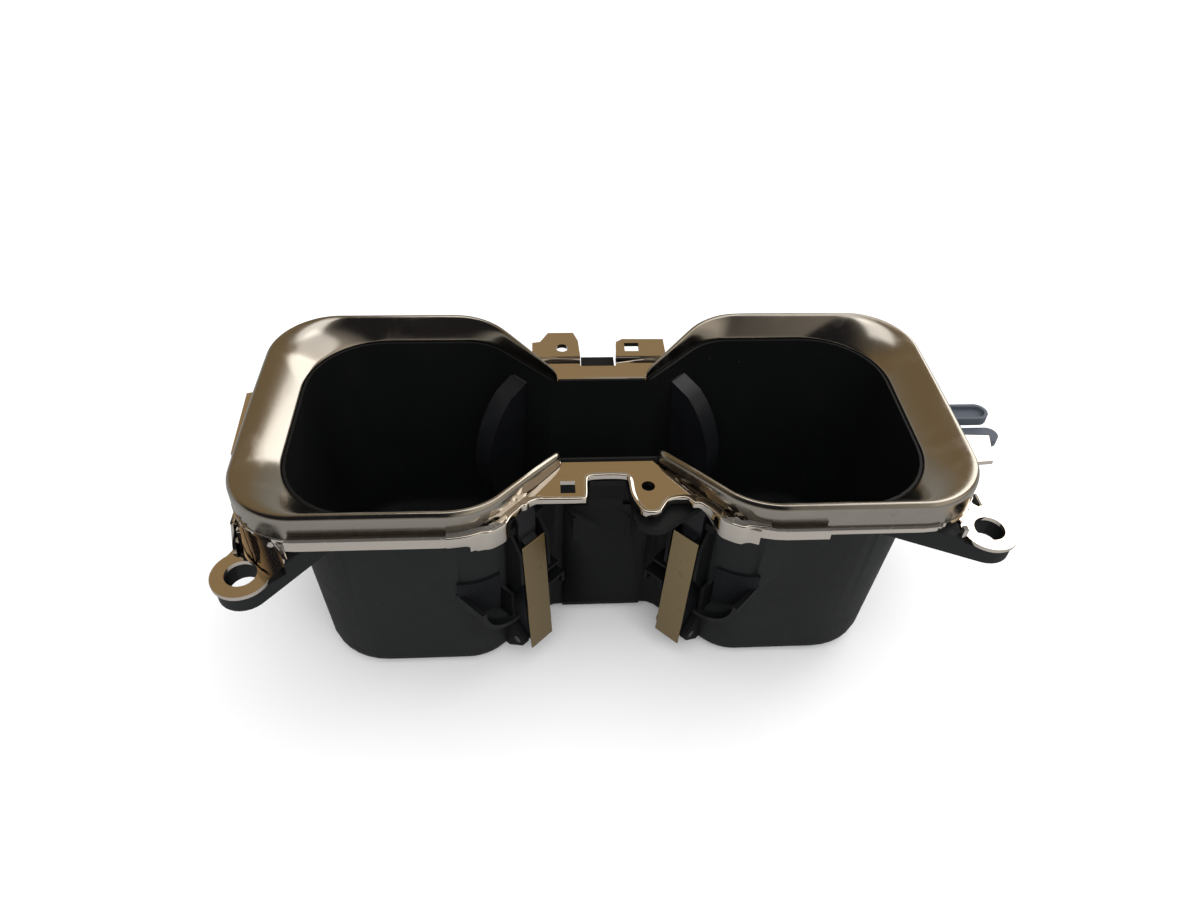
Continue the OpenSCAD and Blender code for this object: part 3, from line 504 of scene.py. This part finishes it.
def outer_wall_group():
    """Is 1 on the tub's outer walls, off the neck, where the tub's colour is painted lighter as painted light.
    Those are the faces where the offset from the middle of the well, times the normal, is more than Out."""
    if "Outer Walls" in bpy.data.node_groups:
        return bpy.data.node_groups["Outer Walls"]
    tree, taken, given = new_group("Outer Walls", {"Well": 0.06, "Neck": 0.03, "Out": 0.01}, ["Mask"])
    place = add(tree, "ShaderNodeTexCoord")
    at = add(tree, "ShaderNodeSeparateXYZ", {"Vector": place.outputs["Object"]})
    side = add(tree, "ShaderNodeMath", {0: at.outputs["X"]}, operation="SIGN")
    middle = add(tree, "ShaderNodeCombineXYZ", {"X": product(tree, side.outputs[0], taken.outputs["Well"]),
                                                "Z": at.outputs["Z"]})
    out = add(tree, "ShaderNodeVectorMath", {0: place.outputs["Object"], 1: middle.outputs["Vector"]},
              operation="SUBTRACT")
    facing = add(tree, "ShaderNodeVectorMath", {0: out.outputs["Vector"], 1: place.outputs["Normal"]},
                 operation="DOT_PRODUCT")
    away = add(tree, "ShaderNodeMath", {0: facing.outputs["Value"], 1: taken.outputs["Out"]},
               operation="GREATER_THAN")
    off = add(tree, "ShaderNodeMath", {0: at.outputs["X"]}, operation="ABSOLUTE")
    clear = add(tree, "ShaderNodeMath", {0: off.outputs[0], 1: taken.outputs["Neck"]}, operation="GREATER_THAN")
    tree.links.new(product(tree, away.outputs[0], clear.outputs[0]), given.inputs["Mask"])
    return tree


def groove_group():
    """A mask of the upward faces along the front, between two heights, where dust gathers."""
    if "Front Groove" in bpy.data.node_groups:
        return bpy.data.node_groups["Front Groove"]
    tree, taken, given = new_group("Front Groove", {"Low": 0.0, "High": 1.0, "Front": -0.046}, ["Mask"])
    place = add(tree, "ShaderNodeTexCoord")
    spot = add(tree, "ShaderNodeSeparateXYZ", {"Vector": place.outputs["Object"]})
    facing = add(tree, "ShaderNodeSeparateXYZ", {"Vector": place.outputs["Normal"]})
    above = add(tree, "ShaderNodeMath", {0: spot.outputs["Z"], 1: taken.outputs["Low"]},
                operation="GREATER_THAN")
    below = add(tree, "ShaderNodeMath", {0: spot.outputs["Z"], 1: taken.outputs["High"]}, operation="LESS_THAN")
    ahead = add(tree, "ShaderNodeMath", {0: spot.outputs["Y"], 1: taken.outputs["Front"]},
                operation="LESS_THAN")
    upward = rising(tree, facing.outputs["Z"], 0.75, 0.95)
    inside = product(tree, product(tree, above.outputs[0], below.outputs[0]), ahead.outputs[0])
    tree.links.new(product(tree, inside, upward), given.inputs["Mask"])
    return tree


def effect(tree, group, **values):
    """Places a node group in a material with its own values."""
    return add(tree, "ShaderNodeGroup", values, node_tree=group)


def start_material(name, **constants):
    """A new material with one surface shader, whose constant inputs are set unlinked."""
    if name in bpy.data.materials:
        return bpy.data.materials[name], None, None
    material = bpy.data.materials.new(name)
    material.use_nodes = True
    tree = material.node_tree
    tree.nodes.clear()
    shader = add(tree, "ShaderNodeBsdfPrincipled")
    add(tree, "ShaderNodeOutputMaterial", {"Surface": shader.outputs["BSDF"]})
    for key, value in constants.items():
        shader.inputs[key.replace("_", " ")].default_value = value
    return material, tree, shader


def mixed(tree, mask, first, second):
    """Colour that goes from first to second as mask goes from 0 to 1."""
    node = add(tree, "ShaderNodeMix", data_type="RGBA")
    tree.links.new(mask, node.inputs["Factor"])
    for socket, value in (("A", first), ("B", second)):
        target = next(s for s in node.inputs if s.name == socket and s.type == "RGBA")
        if isinstance(value, bpy.types.NodeSocket):
            tree.links.new(value, target)
        else:
            target.default_value = (*value, 1.0)
    return next(s for s in node.outputs if s.type == "RGBA")


def rising(tree, value, low, high):
    """A mask that goes from 0 to 1 as the value goes from low to high."""
    ramp = add(tree, "ShaderNodeMapRange", {"Value": value, "From Min": low, "From Max": high})
    return ramp.outputs["Result"]


def scaled(tree, value, low, high):
    """Takes a mask from 0..1 to low..high."""
    return add(tree, "ShaderNodeMapRange", {"Value": value, "To Min": low, "To Max": high}).outputs["Result"]


def product(tree, a, b):
    """Two masks multiplied."""
    return add(tree, "ShaderNodeMath", {0: a, 1: b}, operation="MULTIPLY").outputs[0]


def set_bump(tree, shader, height, strength, distance):
    """Feeds a height into the shader's normal."""
    bump = add(tree, "ShaderNodeBump", {"Height": height, "Strength": strength, "Distance": distance})
    tree.links.new(bump.outputs["Normal"], shader.inputs["Normal"])


def shade_of(colour, factor):
    """A colour made lighter or darker by a factor."""
    return tuple(min(1.0, c * factor) for c in colour)


def rim_material():
    """Satin nickel: fine grain, cloudy handling marks and a few dried spots."""
    colours = bpy.context.scene.cup_holder_colours
    material, tree, shader = start_material("rim_satin_nickel", Metallic=1.0)
    if tree:
        smudge = effect(tree, smudge_group(), Scale=75.0, From=0.50, To=0.72)
        spot = effect(tree, smudge_group(), Scale=210.0, From=0.66, To=0.74)
        worn = mixed(tree, scaled(tree, smudge.outputs["Mask"], 0.0, 0.22), colours.rim,
                     shade_of(colours.rim, 1.35))
        spotted = mixed(tree, scaled(tree, spot.outputs["Mask"], 0.0, 0.35), worn, shade_of(colours.rim, 0.45))
        tree.links.new(spotted, shader.inputs["Base Color"])
        tree.links.new(scaled(tree, smudge.outputs["Mask"], 0.17, 0.27), shader.inputs["Roughness"])
        grain = effect(tree, grain_group(), Scale=2600.0)
        set_bump(tree, shader, grain.outputs["Height"], 0.10, 0.02 * MM)
    return material


def plated_material():
    """Glossy plating with light smears, and a groove along the front, dark with dirt and flecked with dust."""
    colours = bpy.context.scene.cup_holder_colours
    material, tree, shader = start_material("plated_bronze_gloss")
    if tree:
        smear = effect(tree, smudge_group(), Scale=130.0, From=0.52, To=0.80)
        groove = effect(tree, groove_group(), Low=GROOVE_LOW, High=GROOVE_HIGH, Front=GROOVE_FRONT)
        speck = effect(tree, speck_group(), Scale=1800.0, Size=0.30, Share=0.14)
        dirt = scaled(tree, groove.outputs["Mask"], 0.0, 0.9)
        smeared = mixed(tree, scaled(tree, smear.outputs["Mask"], 0.0, 0.3), colours.plated,
                        shade_of(colours.plated, 0.82))
        flecked = mixed(tree, speck.outputs["Mask"], shade_of(colours.dust, 0.14), shade_of(colours.dust, 1.6))
        tree.links.new(mixed(tree, dirt, smeared, flecked), shader.inputs["Base Color"])
        tree.links.new(scaled(tree, dirt, 1.0, 0.0), shader.inputs["Metallic"])
        gloss, rubble = scaled(tree, smear.outputs["Mask"], 0.06, 0.14), scaled(tree, dirt, 0.0, 0.5)
        rough = add(tree, "ShaderNodeMath", {0: gloss, 1: rubble}, operation="ADD")
        tree.links.new(rough.outputs[0], shader.inputs["Roughness"])
    return material


def tub_material():
    """Matt moulded plastic: fine grain, outer walls painted lighter as painted light, pale specks and two paler
    tongues.
    """
    colours = bpy.context.scene.cup_holder_colours
    material, tree, shader = start_material("tub_moulded_plastic", Specular_IOR_Level=0.17)
    if tree:
        haze = effect(tree, smudge_group(), Scale=32.0, From=0.35, To=0.85)
        speck = effect(tree, speck_group(), Scale=260.0, Size=0.045, Share=0.16)
        hazed = mixed(tree, scaled(tree, haze.outputs["Mask"], 0.0, 0.5), colours.tub,
                      shade_of(colours.tub, 1.7))
        outer = effect(tree, outer_wall_group(), Well=WELL_MIDDLE, Neck=NECK_HALF, Out=WALL_OUT)
        # Painted light: the outer walls get a lighter grey than the inside of the same plastic, which lies in
        # shade.
        painted_lit_walls = mixed(tree, outer.outputs["Mask"], hazed, shade_of(colours.tub, 2.3))
        dusted = mixed(tree, scaled(tree, speck.outputs["Mask"], 0.0, 0.6), painted_lit_walls, colours.dust)
        place = add(tree, "ShaderNodeTexCoord")
        along = add(tree, "ShaderNodeSeparateXYZ", {"Vector": place.outputs["Object"]})
        end = rising(tree, along.outputs["X"], *TONGUE_X)
        back = rising(tree, along.outputs["Y"], *TONGUE_Y)
        # The two tongues at the right-hand end are given a paler grey
        pale_tongues = mixed(tree, product(tree, end, back), dusted, colours.pale_tongues)
        tree.links.new(pale_tongues, shader.inputs["Base Color"])
        tree.links.new(scaled(tree, haze.outputs["Mask"], 0.46, 0.58), shader.inputs["Roughness"])
        grain = effect(tree, grain_group(), Scale=1700.0)
        set_bump(tree, shader, grain.outputs["Height"], 0.25, 0.05 * MM)
    return material


def gripper_material():
    """Satin moulded plastic of the grippers."""
    colours = bpy.context.scene.cup_holder_colours
    material, tree, shader = start_material("gripper_satin_plastic", Specular_IOR_Level=0.32)
    if tree:
        haze = effect(tree, smudge_group(), Scale=90.0, From=0.4, To=0.8)
        tree.links.new(mixed(tree, haze.outputs["Mask"], colours.gripper, shade_of(colours.gripper, 1.5)),
                       shader.inputs["Base Color"])
        tree.links.new(scaled(tree, haze.outputs["Mask"], 0.30, 0.42), shader.inputs["Roughness"])
        grain = effect(tree, grain_group(), Scale=1900.0)
        set_bump(tree, shader, grain.outputs["Height"], 0.18, 0.04 * MM)
    return material


def spring_material():
    """Bronze-plated spring steel with rolling grain and small dark stains."""
    colours = bpy.context.scene.cup_holder_colours
    material, tree, shader = start_material("leaf_spring_bronze", Metallic=1.0)
    if tree:
        stain = effect(tree, smudge_group(), Scale=260.0, From=0.58, To=0.74)
        stained = mixed(tree, scaled(tree, stain.outputs["Mask"], 0.0, 0.45), colours.spring,
                        shade_of(colours.spring, 0.55))
        tree.links.new(stained, shader.inputs["Base Color"])
        tree.links.new(scaled(tree, stain.outputs["Mask"], 0.22, 0.38), shader.inputs["Roughness"])
        grain = effect(tree, grain_group(), Scale=2400.0)
        set_bump(tree, shader, grain.outputs["Height"], 0.12, 0.02 * MM)
    return material


def pin_material():
    """Bright drawn steel of the hinge pins."""
    colours = bpy.context.scene.cup_holder_colours
    material, tree, shader = start_material("hinge_pin_steel", Metallic=1.0)
    if tree:
        wear = effect(tree, smudge_group(), Scale=400.0, From=0.4, To=0.8)
        tree.links.new(mixed(tree, wear.outputs["Mask"], colours.pin, shade_of(colours.pin, 0.7)),
                       shader.inputs["Base Color"])
        tree.links.new(scaled(tree, wear.outputs["Mask"], 0.20, 0.35), shader.inputs["Roughness"])
    return material


def felt_material():
    """Black felt: matted fibres with a soft sheen and pale lint."""
    colours = bpy.context.scene.cup_holder_colours
    material, tree, shader = start_material("felt_black", Specular_IOR_Level=0.1, Sheen_Weight=0.02,
                                            Sheen_Roughness=0.5)
    if tree:
        fibre = effect(tree, grain_group(), Scale=1400.0)
        lint = effect(tree, speck_group(), Scale=1100.0, Size=0.12, Share=0.12)
        body = mixed(tree, fibre.outputs["Height"], shade_of(colours.felt, 0.6), shade_of(colours.felt, 1.8))
        tree.links.new(mixed(tree, scaled(tree, lint.outputs["Mask"], 0.0, 0.4), body, colours.dust),
                       shader.inputs["Base Color"])
        tree.links.new(scaled(tree, fibre.outputs["Height"], 0.80, 1.0), shader.inputs["Roughness"])
        set_bump(tree, shader, fibre.outputs["Height"], 0.9, 0.25 * MM)
    return material


def floor_material():
    """A pale matt sheet. It looks white away from the part and is greyer where metal and plastic mirror it."""
    colours = bpy.context.scene.cup_holder_colours
    material, tree, shader = start_material("studio_floor", Roughness=0.9, Specular_IOR_Level=0.0,
                                            Emission_Strength=1.0)
    if tree:
        rays = add(tree, "ShaderNodeLightPath")
        tree.links.new(mixed(tree, rays.outputs["Is Glossy Ray"], colours.floor, shade_of(colours.floor, 0.35)),
                       shader.inputs["Base Color"])
        place = add(tree, "ShaderNodeTexCoord")
        wide = add(tree, "ShaderNodeMapping", {"Vector": place.outputs["Object"], "Scale": GLOW_SCALE})
        away = add(tree, "ShaderNodeVectorMath", {0: wide.outputs["Vector"]}, operation="LENGTH")
        far = add(tree, "ShaderNodeMapRange", {"Value": away.outputs["Value"], "From Min": GLOW_FROM,
                                               "From Max": GLOW_TO}, interpolation_type="SMOOTHSTEP")
        lift = mixed(tree, far.outputs["Result"], GLOW_NEAR, GLOW_FAR)
        tree.links.new(mixed(tree, rays.outputs["Is Camera Ray"], (0.0, 0.0, 0.0), lift),
                       shader.inputs["Emission Color"])
    return material


class CUPHOLDER_OT_stage(bpy.types.Operator):
    """Makes the camera, the pale floor, the soft lamps and the white surround"""

    bl_idname = "cupholder.stage"
    bl_label = "Studio Stage"

    def execute(self, context):
        scene = context.scene
        sizes = scene.cup_holder_sizes
        scene.view_settings.view_transform = "Standard"
        self.make_camera(scene, sizes)
        half = sizes.floor_size / 2
        points = np.array([[-half, -half, 0], [half, -half, 0], [half, half, 0], [-half, half, 0]])
        new_object("studio_floor", points, [[0, 1, 2, 3]], floor_material())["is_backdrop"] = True
        target = Vector((0, 0, CREST * 0.6))
        for name, lamp in SOFTBOXES.items():
            self.softbox(scene, name, target, *lamp)
        self.make_world(scene)
        return {"FINISHED"}

    def make_camera(self, scene, sizes):
        """Camera from its heading, dip and roll: the view starts along +Y and dips towards the base."""
        lens = bpy.data.cameras.new("camera")
        lens.sensor_width = 36.0
        lens.lens = sizes.camera_lens
        lens.clip_start = 0.01
        camera = bpy.data.objects.new("camera", lens)
        turn = Matrix.Rotation(-sizes.camera_heading, 3, "Z")
        turn = turn @ Matrix.Rotation(math.pi / 2 - sizes.camera_dip, 3, "X")
        turn = turn @ Matrix.Rotation(sizes.camera_roll, 3, "Z")
        camera.matrix_world = Matrix.Translation(sizes.camera_place) @ turn.to_4x4()
        scene.collection.objects.link(camera)
        scene.camera = camera

    def softbox(self, scene, name, target, azimuth, elevation, distance, size, power, mirrored):
        """A rectangular lamp that faces the target. Azimuth runs from +X towards +Y."""
        lamp = bpy.data.lights.new(name, "AREA")
        lamp.shape = "RECTANGLE"
        lamp.size, lamp.size_y = size
        lamp.energy = power
        obj = bpy.data.objects.new(name, lamp)
        obj.visible_glossy = mirrored
        a, e = math.radians(azimuth), math.radians(elevation)
        away = Vector((math.cos(a) * math.cos(e), math.sin(a) * math.cos(e), math.sin(e)))
        turn = away.to_track_quat("Z", "Y").to_matrix().to_4x4()
        obj.matrix_world = Matrix.Translation(target + away * distance) @ turn
        scene.collection.objects.link(obj)

    def make_world(self, scene):
        """White where the camera looks. Metal mirrors a room that is grey along the horizon, brown above it and
        dark overhead and in front. The rest of the light is a soft even fill."""
        world = bpy.data.worlds.new("studio_world")
        world.use_nodes = True
        tree = world.node_tree
        tree.nodes.clear()
        rays = add(tree, "ShaderNodeLightPath")
        place = add(tree, "ShaderNodeTexCoord")
        towards = add(tree, "ShaderNodeSeparateXYZ", {"Vector": place.outputs["Generated"]})
        room = add(tree, "ShaderNodeValToRGB", {"Fac": towards.outputs["Z"]})
        ramp = room.color_ramp
        while len(ramp.elements) < len(ROOM):
            ramp.elements.new(0.5)
        for element, (position, colour) in zip(ramp.elements, ROOM):
            element.position = position
            element.color = (*colour, 1.0)
        front = rising(tree, towards.outputs["Y"], *FRONT_Y)
        high = rising(tree, towards.outputs["Z"], *FRONT_Z)
        right = rising(tree, towards.outputs["X"], *FRONT_X)
        ahead = mixed(tree, right, ROOM_FRONT_LEFT, ROOM_FRONT_RIGHT)
        shaded = mixed(tree, product(tree, front, high), room.outputs["Color"], ahead)
        seen_by = {0: rays.outputs["Is Glossy Ray"], 1: rays.outputs["Is Transmission Ray"]}
        mirrored = add(tree, "ShaderNodeMath", seen_by, operation="MAXIMUM")
        light = mixed(tree, mirrored.outputs[0], EVEN_LIGHT, shaded)
        seen = mixed(tree, rays.outputs["Is Camera Ray"], light, (1.0, 1.0, 1.0))
        background = add(tree, "ShaderNodeBackground", {"Color": seen, "Strength": 1.0})
        add(tree, "ShaderNodeOutputWorld", {"Surface": background.outputs["Background"]})
        scene.world = world


class CUPHOLDER_OT_rims(bpy.types.Operator):
    """Makes the two satin rims, each a C round its well"""

    bl_idname = "cupholder.rims"
    bl_label = "Satin Rims"

    def execute(self, context):
        sizes = context.scene.cup_holder_sizes
        for name, side in (("rim_left", -1), ("rim_right", 1)):
            placed(make_rim(f"{name}_shell", side, sizes, rim_material()), "holder", "rim_satin", name)
        return {"FINISHED"}


class CUPHOLDER_OT_frame(bpy.types.Operator):
    """Dresses the plated carrier frame with rounded edges"""

    bl_idname = "cupholder.carrier_frame"
    bl_label = "Carrier Frame"

    def execute(self, context):
        sizes = context.scene.cup_holder_sizes
        plated = dressed_copy("carrier_frame", "carrier_frame_plated", plated_material(), sizes.plated_edge,
                              sizes.edge_steps)
        placed(plated, "holder", "plated_gloss", "carrier_frame")
        for place in FLANGES:
            placed(make_flange(f"flange_{place}", place, plated_material()), "holder", "plated_gloss")
        return {"FINISHED"}


class CUPHOLDER_OT_tub(bpy.types.Operator):
    """Dresses the moulded tub"""

    bl_idname = "cupholder.tub"
    bl_label = "Cup Tub"

    def execute(self, context):
        tub = dressed_copy("cup_tub", "cup_tub_moulded", tub_material())
        placed(tub, "holder", "tub_plastic", "cup_tub")
        return {"FINISHED"}


class CUPHOLDER_OT_grippers(bpy.types.Operator):
    """Dresses the four grippers, their leaf springs and their hinge pins"""

    bl_idname = "cupholder.grippers"
    bl_label = "Sprung Grippers"

    def execute(self, context):
        sizes = context.scene.cup_holder_sizes
        for corner in CORNERS:
            body = f"{corner}_gripper"
            blade = dressed_copy(f"gripper_{corner}", f"gripper_{corner}_moulded", gripper_material(),
                                 sizes.plastic_edge, sizes.edge_steps)
            placed(blade, body, "gripper_plastic", f"gripper_{corner}")
            leaf = dressed_copy(f"leaf_spring_{corner}", f"leaf_spring_{corner}_plated", spring_material(),
                                sizes.spring_edge, sizes.edge_steps)
            placed(leaf, body, "spring_steel", f"leaf_spring_{corner}")
            pin = dressed_copy(f"hinge_pin_{corner}", f"hinge_pin_{corner}_steel", pin_material(),
                               sizes.spring_edge, sizes.edge_steps)
            placed(pin, "holder", "pin_steel", f"hinge_pin_{corner}")
        return {"FINISHED"}


class CUPHOLDER_OT_felts(bpy.types.Operator):
    """Dresses the two felt pads on the front wall"""

    bl_idname = "cupholder.felts"
    bl_label = "Felt Pads"

    def execute(self, context):
        for side in ("left", "right"):
            pad = dressed_copy(f"felt_pad_{side}", f"felt_pad_{side}_soft", felt_material())
            placed(pad, "holder", "felt", f"felt_pad_{side}")
        return {"FINISHED"}


OPERATORS = (CUPHOLDER_OT_stage, CUPHOLDER_OT_tub, CUPHOLDER_OT_frame, CUPHOLDER_OT_rims, CUPHOLDER_OT_grippers,
             CUPHOLDER_OT_felts)


class CUPHOLDER_PT_panel(bpy.types.Panel):
    """Lists the steps that build the cup holder's look"""

    bl_idname = "CUPHOLDER_PT_panel"
    bl_label = "Cup Holder"
    bl_space_type = "VIEW_3D"
    bl_region_type = "UI"
    bl_category = "Cup Holder"

    def draw(self, context):
        for group in (context.scene.cup_holder_sizes, context.scene.cup_holder_colours):
            box = self.layout.box()
            for name in group.__annotations__:
                box.prop(group, name)
        for operator in OPERATORS:
            self.layout.operator(operator.bl_idname)


CLASSES = (CupHolderSizes, CupHolderColours, *OPERATORS, CUPHOLDER_PT_panel)


def register():
    for cls in CLASSES:
        bpy.utils.register_class(cls)
    bpy.types.Scene.cup_holder_sizes = PointerProperty(type=CupHolderSizes)
    bpy.types.Scene.cup_holder_colours = PointerProperty(type=CupHolderColours)


def unregister():
    del bpy.types.Scene.cup_holder_colours
    del bpy.types.Scene.cup_holder_sizes
    for cls in reversed(CLASSES):
        bpy.utils.unregister_class(cls)


def main():
    register()
    bpy.ops.cupholder.stage()
    bpy.ops.cupholder.tub()
    bpy.ops.cupholder.carrier_frame()
    bpy.ops.cupholder.rims()
    bpy.ops.cupholder.grippers()
    bpy.ops.cupholder.felts()


if __name__ == "__main__":
    main()
